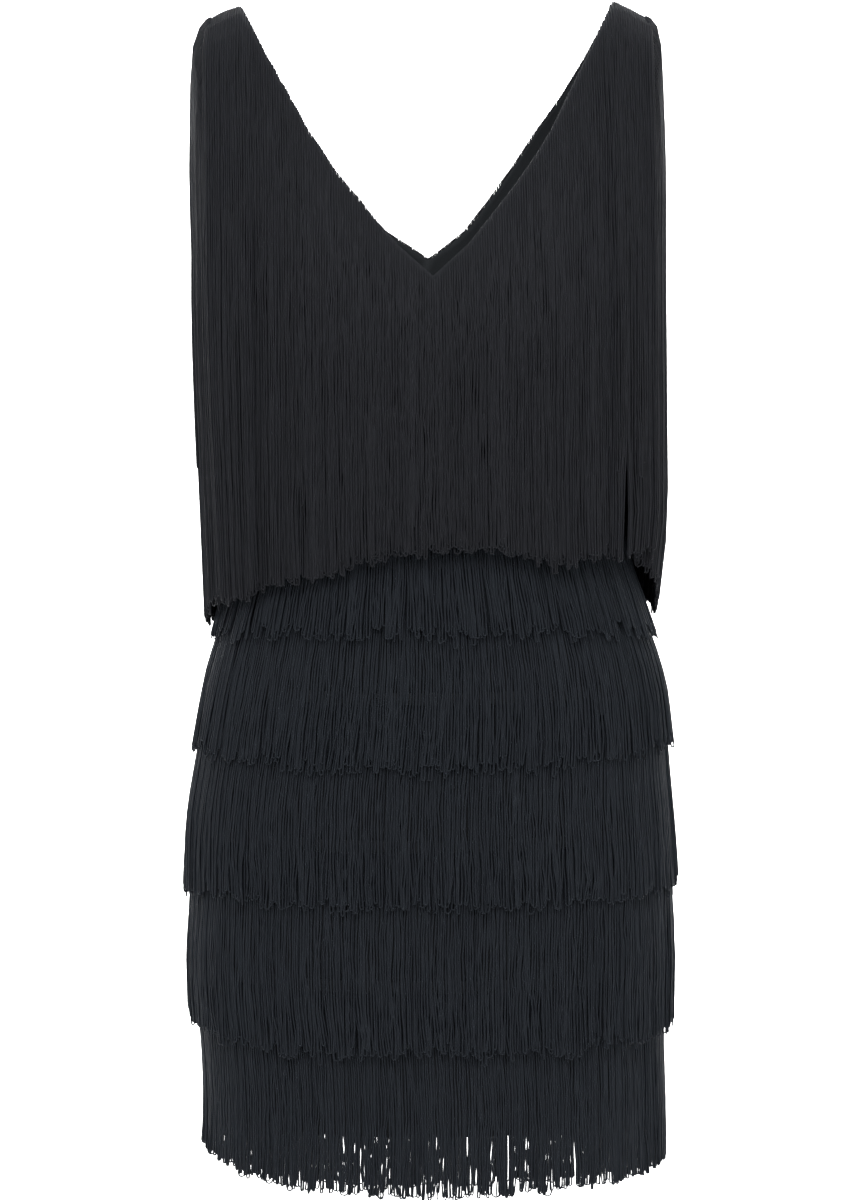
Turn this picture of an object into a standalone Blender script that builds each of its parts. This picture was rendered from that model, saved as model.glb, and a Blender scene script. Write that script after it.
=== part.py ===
"""Fringe mini dress: a front and a back panel sewn into a close tube with a V neck front and back,
five rings of fringe on the skirt, and long fringe hung from the neckline and from both armholes.

Metres, +Z up, the front faces -Y and the wearer's left is +X. The origin is where the dress is held:
midway between the shoulders, at the height of the shoulder seams' neck ends.
"""

import bpy
import numpy as np

for old in list(bpy.data.objects):
    bpy.data.objects.remove(old)

# Driving dimensions
CLOTH_THICKNESS = 0.0012
SEAM_GAP = 0.0003
FRINGE_THICKNESS = 0.0024
FRINGE_LENGTH = 0.152
HEADER_HEIGHT = 0.009
RING_LOCKS_PER_QUARTER = 8
YOKE_CHEST_LOCKS = 16
SHOULDER_LOCKS_EACH_WAY = 8
ROUNDNESS = 2.4

NECK_HALF_WIDTH = 0.136
SHOULDER_TIP = (0.163, -0.011)
SHOULDER_ROUNDING = 0.032
UNDERARM_HEIGHT = -0.200
V_DEPTH = {"front": 0.203, "back": 0.175}
YOKE_CHEST_HALF_WIDTH = 0.110
BUST_HEIGHT = -0.245
HIP_HEIGHT = -0.600

# The figure inside the cloth, from the shoulders down
FIGURE_COLUMNS = ("height", "half_width", "front_depth", "back_depth")
FIGURE = (
    (0.000, 0.188, 0.042, 0.046),
    (-0.050, 0.187, 0.058, 0.068),
    (-0.100, 0.182, 0.076, 0.084),
    (-0.150, 0.170, 0.094, 0.094),
    (-0.205, 0.157, 0.111, 0.097),
    (-0.250, 0.152, 0.118, 0.095),
    (-0.300, 0.143, 0.113, 0.087),
    (-0.340, 0.136, 0.107, 0.080),
    (-0.370, 0.134, 0.104, 0.078),
    (-0.400, 0.138, 0.106, 0.082),
    (-0.431, 0.147, 0.109, 0.092),
    (-0.480, 0.160, 0.112, 0.108),
    (-0.526, 0.167, 0.113, 0.119),
    (-0.580, 0.171, 0.113, 0.126),
    (-0.640, 0.1725, 0.111, 0.127),
    (-0.690, 0.171, 0.110, 0.122),
    (-0.746, 0.166, 0.109, 0.117),
    (-0.815, 0.1645, 0.109, 0.114),
)

# Rows of the panels below the underarm. A row sags from its side height to front and back middle.
LEVEL_COLUMNS = ("name", "side_height", "front_sag", "back_sag")
LEVELS = (
    ("bust", -0.250, 0.002, 0.000),
    ("header_1", -0.300, 0.004, 0.004),
    ("middle_1", -0.342, 0.010, 0.006),
    ("header_2", -0.384, 0.016, 0.008),
    ("middle_2", -0.436, 0.013, 0.008),
    ("header_3", -0.487, 0.010, 0.008),
    ("middle_3", -0.539, 0.011, 0.008),
    ("header_4", -0.590, 0.012, 0.008),
    ("middle_4", -0.640, 0.012, 0.008),
    ("header_5", -0.690, 0.012, 0.008),
    ("middle_5", -0.747, 0.011, 0.008),
    ("hem", -0.803, 0.010, 0.006),
)

# Distance of each ring fringe's inner face from the figure: under its header, halfway to the
# next header, over the next header, and at the strands' ends
RING_COLUMNS = ("header", "middle", "over_next", "ends")
RINGS = (
    (0.0016, 0.0021, 0.0052, 0.0066),
    (0.0016, 0.0021, 0.0048, 0.0052),
    (0.0016, 0.0021, 0.0048, 0.0052),
    (0.0016, 0.0021, 0.0056, 0.0080),
    (0.0016, 0.0019, 0.0021, 0.0024),
)

# Half-widths of the neckline at shares of the V's depth
NECK_COLUMNS = ("depth_share", "front", "back")
NECKLINE = (
    (0.00, 0.136, 0.136),
    (0.09, 0.127, 0.128),
    (0.18, 0.118, 0.119),
    (0.33, 0.102, 0.103),
    (0.47, 0.0875, 0.0855),
    (0.61, 0.0695, 0.0695),
    (0.76, 0.046, 0.049),
    (0.88, 0.0265, 0.030),
    (1.00, 0.000, 0.000),
)

# Armhole edge between the shoulder tip and the underarm
ARMHOLE_COLUMNS = ("height", "half_width")
ARMHOLE = (
    (-0.011, 0.163),
    (-0.028, 0.158),
    (-0.060, 0.152),
    (-0.110, 0.146),
    (-0.160, 0.147),
    (-0.185, 0.152),
    (-0.200, 0.1583),
)

# Rows of the panels from the shoulder seam to the point of the V, as shares of its depth
UPPER_ROWS = (0.0, 0.02, 0.05, 0.10, 0.19, 0.31, 0.45, 0.61, 0.80, 1.0)

# Lower edge of the long fringe: width across the body and height
YOKE_HEM_COLUMNS = ("x", "front_height", "back_height")
YOKE_HEM = (
    (-0.145, -0.428, -0.425),
    (-0.125, -0.421, -0.420),
    (-0.100, -0.417, -0.416),
    (-0.075, -0.411, -0.412),
    (-0.055, -0.402, -0.408),
    (-0.030, -0.397, -0.405),
    (0.000, -0.395, -0.404),
    (0.035, -0.394, -0.405),
    (0.060, -0.398, -0.408),
    (0.080, -0.404, -0.410),
    (0.100, -0.408, -0.412),
    (0.120, -0.405, -0.414),
    (0.145, -0.398, -0.417),
)

# Side lines of the narrower long locks between the chest and the armhole
YOKE_SHOULDER_LINES = (0.120, 0.130, 0.1375, 0.145)

# The long fringe starts just inside the neckline, or a little over the shoulder seam
YOKE_ROOT_INSET = 0.001
YOKE_ROOT_LIFT = 0.0018

# Rows of a long lock: the header's, as drops below its root, then shares of the way to the bust.
# The last row is its end. Each row has its offset from the figure.
YOKE_HEADER_DROPS = (0.0, 0.005, 0.013)
YOKE_SHARES = (0.04, 0.10, 0.22, 0.45, 0.70, 1.0)
YOKE_OFFSETS = (0.0024, 0.0024, 0.0026, 0.0030, 0.0034, 0.0040, 0.0046, 0.0050, 0.0052, 0.0052)

# Long locks stand further out on the shoulder, and again where they pass over the armhole fringe
YOKE_SHOULDER_LOFT = 0.0016
YOKE_OVER_ARMHOLE = 0.131
YOKE_ARMHOLE_LOFT = 0.0046

# The armhole fringe is sewn round the armhole's edge, from the shoulder tip down to the last of
# these heights, and turns down just outside it
SHOULDER_ROOT_HEIGHTS = (-0.011, -0.014, -0.021, -0.032, -0.046, -0.063, -0.082, -0.102, -0.124)
SHOULDER_HEADER_WIDTH = 0.004
SHOULDER_ROOT_OFFSET = 0.0042
SHOULDER_TURN_DROP = 0.012
SHOULDER_TURN_OUT = 0.65

# In plan it hangs on half an ellipse round the arm. Its rows are the header's two, the turn's,
# two free ones and the ends.
SHOULDER_CENTRE_X = 0.147
SHOULDER_HANG = (0.0235, 0.056)
SHOULDER_HANG_ANGLE = 82.0
SHOULDER_FREE_ROWS = (-0.075, -0.190)
SHOULDER_ROW_STEP = 0.020
SHOULDER_GAPS = (0.0012, 0.0012, 0.0016, 0.0016, 0.0022, 0.0032)

# Lower edge of the armhole fringe, at shares of the way from its front to its back
SHOULDER_HEM_COLUMNS = ("from_front", "left_height", "right_height")
SHOULDER_HEM = (
    (0.0, -0.400, -0.425),
    (0.3, -0.414, -0.432),
    (0.5, -0.438, -0.445),
    (0.7, -0.430, -0.440),
    (1.0, -0.418, -0.424),
)

# Gaps between the other locks, and how far their lengths differ
GAP_AT_ROOT = 0.0026
GAP_AT_END = 0.0075
LENGTH_SPREAD = 0.003
SEED = 5

BLACK_JERSEY = (0.012, 0.013, 0.015, 1.0)
BLACK_FRINGE = (0.016, 0.017, 0.020, 1.0)


def column(table, columns, name):
    """One named column of a table, as an array in rising order of its first column."""
    rows = sorted(table, key=lambda row: row[0])
    return np.array([row[columns.index(name)] for row in rows], float)


def smooth(at, knots, values):
    """Cubic Hermite curve through the knots, its slope at each from the knots beside it."""
    at = np.clip(np.asarray(at, float), knots[0], knots[-1])
    slopes = np.gradient(values, knots)
    i = np.clip(np.searchsorted(knots, at, side="right") - 1, 0, len(knots) - 2)
    width = knots[i + 1] - knots[i]
    t = (at - knots[i]) / width
    rise = (2 * t**3 - 3 * t**2 + 1) * values[i] + (3 * t**2 - 2 * t**3) * values[i + 1]
    bend = (t**3 - 2 * t**2 + t) * slopes[i] + (t**3 - t**2) * slopes[i + 1]
    return rise + width * bend


def figure(height, name):
    """A named size of the figure at a height."""
    return smooth(height, column(FIGURE, FIGURE_COLUMNS, "height"), column(FIGURE, FIGURE_COLUMNS, name))


def neck_half_width(depth_share, side):
    """Half-width of the neckline at a share of the V's depth."""
    shares = column(NECKLINE, NECK_COLUMNS, "depth_share")
    return np.interp(depth_share, shares, column(NECKLINE, NECK_COLUMNS, side))


def yoke_root_height(x, side):
    """Height where a long lock starts: just inside the neckline, or over the shoulder seam."""
    if abs(x) > NECK_HALF_WIDTH:
        return float(shoulder_height(x)) + YOKE_ROOT_LIFT
    widths = column(NECKLINE, NECK_COLUMNS, side)
    shares = column(NECKLINE, NECK_COLUMNS, "depth_share")
    share = np.interp(abs(x), widths[::-1], shares[::-1])
    return -share * V_DEPTH[side] - YOKE_ROOT_INSET


def shoulder_height(x):
    """Height of the shoulder line: level at the neck, sloping to the shoulder tip."""
    slope = SHOULDER_TIP[1] / (SHOULDER_TIP[0] - NECK_HALF_WIDTH)
    return slope * np.maximum(np.abs(x) - NECK_HALF_WIDTH, 0.0)


def armhole_half_width(height):
    """Half-width of the armhole edge at a height."""
    heights = column(ARMHOLE, ARMHOLE_COLUMNS, "height")
    return smooth(height, heights, column(ARMHOLE, ARMHOLE_COLUMNS, "half_width"))


def chest_depth(x, height, side, grown=0.0):
    """Distance of the figure's front or back from the plane of the seams: a superellipse across,
    rounded over the shoulder line as a quarter circle. A grown figure is larger all round."""
    across = np.clip(np.abs(x) / (figure(height, "half_width") + grown), 0.0, 1.0)
    depth = figure(height, side + "_depth") + grown
    below = np.clip((shoulder_height(x) + grown - height) / (SHOULDER_ROUNDING + grown), 0.0, 1.0)
    return depth * (1.0 - across**ROUNDNESS) ** (1.0 / ROUNDNESS) * np.sqrt(1.0 - (1.0 - below) ** 2)


def station_angles(side):
    """Angles from the middle of the front or back to the side seam, evenly spaced round the hip."""
    fine = np.linspace(0.0, np.pi / 2, 721)
    x = figure(HIP_HEIGHT, "half_width") * np.sin(fine) ** (2 / ROUNDNESS)
    y = figure(HIP_HEIGHT, side + "_depth") * np.cos(fine) ** (2 / ROUNDNESS)
    length = np.concatenate(([0.0], np.cumsum(np.hypot(np.diff(x), np.diff(y)))))
    return np.interp(np.linspace(0.0, length[-1], RING_LOCKS_PER_QUARTER + 1), length, fine)


def all_round_angles():
    """Station angles all the way round, from the front's middle by the wearer's left side."""
    front, back = station_angles("front"), np.pi - station_angles("back")[::-1]
    half = np.concatenate((front, back[1:]))
    return np.concatenate((half, 2 * np.pi - half[-2:0:-1]))


def level_ring(level, angles):
    """Points of the figure on one row of the panels: a superellipse whose middle sags."""
    row = dict(zip(LEVEL_COLUMNS, LEVELS[level]))
    is_front = np.cos(angles) >= 0
    sag = np.where(is_front, row["front_sag"], row["back_sag"]) * np.cos(angles) ** 2
    height = row["side_height"] - sag
    depth = np.where(is_front, figure(height, "front_depth"), figure(height, "back_depth"))
    power = 2 / ROUNDNESS
    x = figure(height, "half_width") * np.sign(np.sin(angles)) * np.abs(np.sin(angles)) ** power
    y = -depth * np.sign(np.cos(angles)) * np.abs(np.cos(angles)) ** power
    return np.stack((x, y, height), axis=-1)


def outward(ring):
    """Level unit normals of a closed ring of points that runs from the front by the left side."""
    along = np.roll(ring, -1, axis=0) - np.roll(ring, 1, axis=0)
    normal = np.stack((along[:, 1], -along[:, 0], np.zeros(len(ring))), axis=-1)
    return normal / np.linalg.norm(normal, axis=1, keepdims=True)


def moved_ring(level, offset, heights=None):
    """Points of the panels on a row, or at given heights between it and the next row, moved out."""
    ring = level_ring(level, all_round_angles())
    if heights is not None:
        following = level_ring(level + 1, all_round_angles())
        share = (ring[:, 2] - heights) / (ring[:, 2] - following[:, 2])
        ring = ring + (following - ring) * share[:, None]
    return ring + outward(ring) * offset


def upper_row(share, side):
    """Half of one panel row above the point of the V, from the neckline to the armhole."""
    across = np.sin(station_angles(side)) ** (2 / ROUNDNESS)
    edge_height = SHOULDER_TIP[1] + (UNDERARM_HEIGHT - SHOULDER_TIP[1]) * share
    inner, outer = neck_half_width(share, side), armhole_half_width(edge_height)
    x = inner + (outer - inner) * across
    height = -share * V_DEPTH[side] * (1 - across) + edge_height * across
    if share == 0.0:
        height = shoulder_height(x)
    y = -chest_depth(x, height, side)
    return np.stack((x, y, height), axis=-1)


def panel_grid(side):
    """Half of a panel, from the middle out: rows from the shoulder seam to the hem."""
    rows = [upper_row(share, side) for share in UPPER_ROWS]
    angles = station_angles(side)
    for level in range(len(LEVELS)):
        if side == "front":
            rows.append(level_ring(level, angles))
        else:
            rows.append(level_ring(level, np.pi - angles) * np.array((1, -1, 1)))
    grid = np.array(rows)
    grid[..., 1] = np.minimum(grid[..., 1], -SEAM_GAP / 2)
    grid[len(UPPER_ROWS) - 1:, 0, 0] = 0.0
    if side == "back":
        grid[..., 1] *= -1
    return grid


def material(name, colour, roughness):
    """A plain cloth finish."""
    made = bpy.data.materials.new(name)
    made.use_nodes = True
    shader = made.node_tree.nodes["Principled BSDF"]
    shader.inputs["Base Color"].default_value = colour
    shader.inputs["Roughness"].default_value = roughness
    shader.inputs["Metallic"].default_value = 0.0
    return made


def cloth_object(name, points, faces, thickness, finish, mirrored=False):
    """A surface given its thickness on the outer side, in the dress's collection."""
    mesh = bpy.data.meshes.new(name)
    mesh.from_pydata([tuple(point) for point in points], [], faces)
    mesh.shade_smooth()
    made = bpy.data.objects.new(name, mesh)
    DRESS.objects.link(made)
    made.data.materials.append(finish)
    if mirrored:
        mirror = made.modifiers.new("other_half", "MIRROR")
        mirror.use_axis[0] = True
        mirror.merge_threshold = 0.0001
    wall = made.modifiers.new("thickness", "SOLIDIFY")
    wall.thickness = thickness
    wall.offset = 1.0
    wall.use_even_offset = True
    return made


def make_panel(name, side, finish):
    """Front or back of the tube: half a grid of sections, mirrored at the middle."""
    grid = panel_grid(side)
    rows, columns = grid.shape[:2]
    faces = []
    for r in range(rows - 1):
        for c in range(columns - 1):
            a, b = r * columns + c, (r + 1) * columns + c
            face = (a, b, b + 1, a + 1)
            faces.append(face if side == "front" else face[::-1])
    return cloth_object(name, grid.reshape(-1, 3), faces, CLOTH_THICKNESS, finish, mirrored=True)


def comb(name, edges, header_rows, closed, finish):
    """A fringe as a comb: edges holds, for each lock, its two side lines with a point on each row.
    The first rows run on from lock to lock as the header, and below them each lock hangs alone."""
    locks, rows = len(edges), len(edges[0][0])
    points = np.array(edges).reshape(-1, 3)
    faces = []
    for lock in range(locks):
        left, right = 2 * lock * rows, (2 * lock + 1) * rows
        for r in range(rows - 1):
            faces.append((left + r, left + r + 1, right + r + 1, right + r))
        if lock == locks - 1 and not closed:
            continue
        following = (2 * lock + 2) % (2 * locks) * rows
        for r in range(header_rows - 1):
            faces.append((right + r, right + r + 1, following + r + 1, following + r))
    return cloth_object(name, points, faces, FRINGE_THICKNESS, finish)


def split_span(start, end, gap):
    """Both sides of a lock between two lines, with half a gap left free at each."""
    width = np.linalg.norm((end - start)[:2])
    share = 0.5 * gap / width
    return start + (end - start) * share, end - (end - start) * share


def make_ring_fringe(number, draw, finish):
    """One ring of skirt fringe, whose locks pass over the next ring's header."""
    offsets = dict(zip(RING_COLUMNS, RINGS[number - 1]))
    header = [row[0] for row in LEVELS].index(f"header_{number}")
    lengths = draw.uniform(-LENGTH_SPREAD, LENGTH_SPREAD, 4 * RING_LOCKS_PER_QUARTER)
    top = moved_ring(header, offsets["header"])
    middle = moved_ring(header + 1, offsets["middle"])
    over = moved_ring(header + 2, offsets["over_next"])
    if number < len(RINGS):
        end = moved_ring(header + 3, offsets["ends"], top[:, 2] - FRINGE_LENGTH)
    else:
        end = moved_ring(header + 2, offsets["ends"])
        end[:, 2] = top[:, 2] - FRINGE_LENGTH
    bottom_share = HEADER_HEIGHT / (top[:, 2] - middle[:, 2])
    bottom = top + (middle - top) * bottom_share[:, None]
    rows = (top, bottom, middle, over, end)
    gaps = (GAP_AT_ROOT, GAP_AT_ROOT, GAP_AT_ROOT, 0.5 * (GAP_AT_ROOT + GAP_AT_END), GAP_AT_END)
    edges = []
    for lock in range(len(top)):
        pair = [split_span(row[lock], row[(lock + 1) % len(top)], gap) for row, gap in zip(rows, gaps)]
        sides = np.array(pair).transpose(1, 0, 2)
        sides[:, -1, 2] += lengths[lock]
        edges.append(sides)
    return comb(f"skirt_fringe_{number}", edges, 2, True, finish)


def hanging_line(x, heights, offsets, side):
    """A line of points down the chest at one width, outside the figure by the offsets. None hangs
    further in than the points above it."""
    heights = np.asarray(heights, float)
    depth = np.maximum.accumulate(chest_depth(x, heights, side, np.asarray(offsets)))
    facing = -1.0 if side == "front" else 1.0
    return np.stack((np.full_like(heights, x), facing * depth, heights), axis=-1)


def make_yoke_fringe(name, side, draw, finish):
    """Long fringe from the neckline of one panel, lying on the chest and hanging from the bust."""
    hem_x = column(YOKE_HEM, YOKE_HEM_COLUMNS, "x")
    hem = column(YOKE_HEM, YOKE_HEM_COLUMNS, side + "_height")
    chest = np.linspace(-YOKE_CHEST_HALF_WIDTH, YOKE_CHEST_HALF_WIDTH, YOKE_CHEST_LOCKS + 1)
    outer = np.array(YOKE_SHOULDER_LINES)
    lines = np.concatenate((-outer[::-1], chest, outer))
    edges = []
    for lock in range(len(lines) - 1):
        length = draw.uniform(-LENGTH_SPREAD, LENGTH_SPREAD)
        sides = []
        for x, inwards in ((lines[lock], 1), (lines[lock + 1], -1)):
            x_root, x_end = x + inwards * GAP_AT_ROOT / 2, x + inwards * GAP_AT_END / 2
            heights = [yoke_root_height(x_root, side) - drop for drop in YOKE_HEADER_DROPS]
            heights += [heights[-1] + (BUST_HEIGHT - heights[-1]) * share for share in YOKE_SHARES]
            heights.append(float(np.interp(x, hem_x, hem)) + length)
            loft = YOKE_SHOULDER_LOFT if abs(x) > YOKE_CHEST_HALF_WIDTH else 0.0
            offsets = np.array(YOKE_OFFSETS) + loft
            if abs(x) > YOKE_OVER_ARMHOLE:
                offsets[len(YOKE_HEADER_DROPS):] += YOKE_ARMHOLE_LOFT
            line = hanging_line(x_root, heights, offsets, side)
            line[-1, 0] = x_end
            sides.append(line)
        edges.append(sides if side == "front" else sides[::-1])
    return comb(name, edges if side == "front" else edges[::-1], len(YOKE_HEADER_DROPS), False, finish)


def armhole_root(step):
    """A point over the armhole edge and one a header's width inside it. Steps run from the front
    of the armhole, through the shoulder tip at 0, to its back."""
    side, facing = ("front", -1.0) if step < 0 else ("back", 1.0)
    height = SHOULDER_ROOT_HEIGHTS[abs(step)]
    x = float(armhole_half_width(height))
    points = []
    for across in (x, x - SHOULDER_HEADER_WIDTH):
        point_height = height if step else float(shoulder_height(across)) + SHOULDER_ROOT_OFFSET
        depth = float(chest_depth(across, point_height, side, SHOULDER_ROOT_OFFSET))
        points.append(np.array((across, facing * depth, point_height)))
    return points


def shoulder_line(step, hem_height):
    """A line of points down the armhole fringe: over the edge, out to the ellipse and down it."""
    edge, inside = armhole_root(step)
    turn = np.radians(SHOULDER_HANG_ANGLE * step / SHOULDER_LOCKS_EACH_WAY)
    hang = np.array((SHOULDER_CENTRE_X, 0.0)) + np.array(SHOULDER_HANG) * (np.cos(turn), np.sin(turn))
    turned = edge[:2] + (hang - edge[:2]) * SHOULDER_TURN_OUT
    turn_height = edge[2] - SHOULDER_TURN_DROP
    rows = [inside, edge, (*turned, turn_height)]
    rows += [(*hang, min(height, turn_height - SHOULDER_ROW_STEP)) for height in SHOULDER_FREE_ROWS]
    return np.array(rows + [(*hang, hem_height)])


def make_shoulder_fringe(name, side, draw, finish):
    """Long fringe round one armhole's upper edge, hanging clear of the body like a cap sleeve."""
    steps = np.arange(-SHOULDER_LOCKS_EACH_WAY, SHOULDER_LOCKS_EACH_WAY + 1)
    hem = np.interp(
        (steps / SHOULDER_LOCKS_EACH_WAY + 1) / 2,
        column(SHOULDER_HEM, SHOULDER_HEM_COLUMNS, "from_front"),
        column(SHOULDER_HEM, SHOULDER_HEM_COLUMNS, side + "_height"),
    )
    lines = [shoulder_line(int(step), height) for step, height in zip(steps, hem)]
    edges = []
    for before, after in zip(lines, lines[1:]):
        pair = [split_span(*rows) for rows in zip(before, after, SHOULDER_GAPS)]
        sides = np.array(pair).transpose(1, 0, 2)
        sides[:, -1, 2] += draw.uniform(-LENGTH_SPREAD, LENGTH_SPREAD)
        if side == "right":
            sides = sides[::-1] * np.array((-1, 1, 1))
        edges.append(sides)
    return comb(name, edges if side == "left" else edges[::-1], 2, False, finish)


DRESS = bpy.data.collections.new("fringe_mini_dress")
bpy.context.scene.collection.children.link(DRESS)

make_panel("front_panel", "front", material("front_jersey", BLACK_JERSEY, 0.85))
make_panel("back_panel", "back", material("back_jersey", BLACK_JERSEY, 0.85))

draw_lengths = np.random.RandomState(SEED)
for ring_number in range(1, len(RINGS) + 1):
    make_ring_fringe(ring_number, draw_lengths, material(f"ring_yarn_{ring_number}", BLACK_FRINGE, 0.7))
make_yoke_fringe("front_yoke_fringe", "front", draw_lengths, material("front_yarn", BLACK_FRINGE, 0.7))
make_yoke_fringe("back_yoke_fringe", "back", draw_lengths, material("back_yarn", BLACK_FRINGE, 0.7))
for arm in ("left", "right"):
    make_shoulder_fringe(f"{arm}_shoulder_fringe", arm, draw_lengths, material(f"{arm}_yarn", BLACK_FRINGE, 0.7))
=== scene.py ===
"""Looks of the fringe mini dress: thin jersey front and back, and every fringe as real looped yarn.

Metres, +Z up, the front faces -Y and the wearer's left is +X. The origin is midway between the
shoulders, at the height of the shoulder seams' neck ends.
"""

import math

import bpy
import numpy as np
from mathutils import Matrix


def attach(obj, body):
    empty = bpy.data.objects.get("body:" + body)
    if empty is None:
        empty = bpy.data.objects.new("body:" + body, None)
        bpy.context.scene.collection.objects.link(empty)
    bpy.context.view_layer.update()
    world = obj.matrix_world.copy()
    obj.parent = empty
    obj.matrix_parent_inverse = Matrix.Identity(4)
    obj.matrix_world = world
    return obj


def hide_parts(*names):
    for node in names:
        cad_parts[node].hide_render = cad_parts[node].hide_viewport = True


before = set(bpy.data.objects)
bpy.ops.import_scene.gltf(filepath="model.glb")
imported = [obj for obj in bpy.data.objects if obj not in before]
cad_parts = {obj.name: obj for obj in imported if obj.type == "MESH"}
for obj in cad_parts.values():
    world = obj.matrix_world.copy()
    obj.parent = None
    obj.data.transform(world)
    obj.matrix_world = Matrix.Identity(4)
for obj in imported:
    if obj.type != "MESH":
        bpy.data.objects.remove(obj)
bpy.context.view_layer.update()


def table(columns, *rows):
    """The named columns of a table's rows, as arrays in rising order of its first column."""
    return dict(zip(columns, np.array(sorted(rows)).T))


# Sizes of the cloth and the fringe, as the solids have them. The body's sections are superellipses
# with this exponent.
CLOTH_THICKNESS = 0.0012
FRINGE_LENGTH = 0.152
HEADER_HEIGHT = 0.009
ROUNDNESS = 2.4
POWER = 2 / ROUNDNESS

# Gap between front and back at the shoulder seams, too fine to show
SEAM_GAP = 0.00002

NECK_HALF_WIDTH = 0.136
SHOULDER_TIP = (0.163, -0.011)
SHOULDER_ROUNDING = 0.032
UNDERARM_HEIGHT = -0.200
V_DEPTH = {"front": 0.203, "back": 0.175}
FACING = {"front": -1.0, "back": 1.0}
BUST_HEIGHT = -0.245
HIP_HEIGHT = -0.600

# The figure inside the cloth, from the shoulders down
FIGURE = table(
    ("height", "half_width", "front_depth", "back_depth"),
    (0.000, 0.188, 0.042, 0.046),
    (-0.050, 0.187, 0.058, 0.068),
    (-0.100, 0.182, 0.076, 0.084),
    (-0.150, 0.170, 0.094, 0.094),
    (-0.205, 0.157, 0.111, 0.097),
    (-0.250, 0.152, 0.118, 0.095),
    (-0.300, 0.143, 0.113, 0.087),
    (-0.340, 0.136, 0.107, 0.080),
    (-0.370, 0.134, 0.104, 0.078),
    (-0.400, 0.138, 0.106, 0.082),
    (-0.431, 0.147, 0.109, 0.092),
    (-0.480, 0.160, 0.112, 0.108),
    (-0.526, 0.167, 0.113, 0.119),
    (-0.580, 0.171, 0.113, 0.126),
    (-0.640, 0.1725, 0.111, 0.127),
    (-0.690, 0.171, 0.110, 0.122),
    (-0.746, 0.166, 0.109, 0.117),
    (-0.815, 0.1645, 0.109, 0.114),
)

# Rows of the cloth below the underarm: height at the side, and how far each sags from there to the
# middle of the front and of the back
LEVELS = {
    "bust": (-0.250, 0.002, 0.000),
    "header_1": (-0.300, 0.004, 0.004),
    "middle_1": (-0.342, 0.010, 0.006),
    "header_2": (-0.384, 0.016, 0.008),
    "middle_2": (-0.436, 0.013, 0.008),
    "header_3": (-0.487, 0.010, 0.008),
    "middle_3": (-0.539, 0.011, 0.008),
    "header_4": (-0.590, 0.012, 0.008),
    "middle_4": (-0.640, 0.012, 0.008),
    "header_5": (-0.690, 0.012, 0.008),
    "middle_5": (-0.747, 0.011, 0.008),
    "hem": (-0.803, 0.010, 0.006),
}

# Rings of fringe: loops, how unevenly they end, change of their length all round, how much longer
# they are at the back than in front, and their inner face's distance from the figure: at their
# header, halfway to the next one, over it and at their ends
RINGS = (
    (490, 0.0034, 0.0, 0.0, (0.0016, 0.0021, 0.0052, 0.0066)),
    (530, 0.0026, 0.0, 0.0, (0.0016, 0.0021, 0.0048, 0.0052)),
    (570, 0.0022, 0.0, 0.0, (0.0016, 0.0021, 0.0048, 0.0052)),
    (570, 0.0024, 0.0, 0.0, (0.0016, 0.0021, 0.0056, 0.0080)),
    (650, 0.0012, -0.0002, 0.024, (0.0016, 0.0019, 0.0021, 0.0024)),
)

# Half-widths of the neckline at shares of the V's depth
NECKLINE = table(
    ("depth_share", "front", "back"),
    (0.00, 0.136, 0.136),
    (0.09, 0.127, 0.128),
    (0.18, 0.118, 0.119),
    (0.33, 0.102, 0.103),
    (0.47, 0.0875, 0.0855),
    (0.61, 0.0695, 0.0695),
    (0.76, 0.046, 0.049),
    (0.88, 0.0265, 0.030),
    (1.00, 0.000, 0.000),
)

# Armhole edge between the shoulder tip and the underarm
ARMHOLE = table(
    ("height", "half_width"),
    (-0.011, 0.163),
    (-0.028, 0.158),
    (-0.060, 0.152),
    (-0.110, 0.146),
    (-0.160, 0.147),
    (-0.185, 0.152),
    (-0.200, 0.1583),
)

# Lower edge of the long fringe: width across the body and height
YOKE_HEM = table(
    ("x", "front", "back"),
    (-0.145, -0.428, -0.425),
    (-0.125, -0.421, -0.420),
    (-0.100, -0.417, -0.416),
    (-0.075, -0.411, -0.412),
    (-0.055, -0.402, -0.408),
    (-0.030, -0.397, -0.405),
    (0.000, -0.395, -0.404),
    (0.035, -0.394, -0.405),
    (0.060, -0.398, -0.408),
    (0.080, -0.404, -0.410),
    (0.100, -0.4055, -0.412),
    (0.112, -0.400, -0.413),
    (0.126, -0.396, -0.415),
    (0.140, -0.4015, -0.417),
    (0.155, -0.397, -0.417),
)

# Where the long fringe lies: its inner face's distance from the figure at shares of the way down
# to the bust, further out on the shoulder and again over the armhole fringe
YOKE_HALF_WIDTH = 0.163
YOKE_ROOT_LIFT = 0.0031
YOKE_SHARES = (0.00, 0.10, 0.22, 0.45, 0.70, 1.00)
YOKE_OFFSETS = (0.0024, 0.0034, 0.0040, 0.0046, 0.0050, 0.0052)
YOKE_SHOULDER_LOFT = (0.0016, 0.106, 0.114)
YOKE_ARMHOLE_LOFT = (0.0046, 0.128, 0.134)
YOKE_NECK_LIFT = 0.0009
YOKE_EDGE_DIP = 0.0012
YOKE_EDGE_FALL = 0.006

# Rings whose strands end higher or lower round one place: ring, turn and reach in degrees, and
# the change of length
HEM_CHANGES = (
    (2, 270, 20, -0.0020),
    (2, 90, 20, -0.0045),
    (3, 90, 20, -0.0020),
    (4, 270, 24, -0.0085),
    (4, 90, 18, -0.0045),
    (5, 270, 38, -0.0165),
    (5, 90, 20, -0.0070),
)

# Lean of the long strands at each side, in towards the body: the side's sign in x, from this far
# out, full at this far out, start and end heights, and the move at the ends
LEANS = (
    (-1, 0.115, 0.160, -0.200, -0.440, 0.0065),
    (1, 0.120, 0.160, -0.360, -0.460, 0.0105),
)

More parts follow.
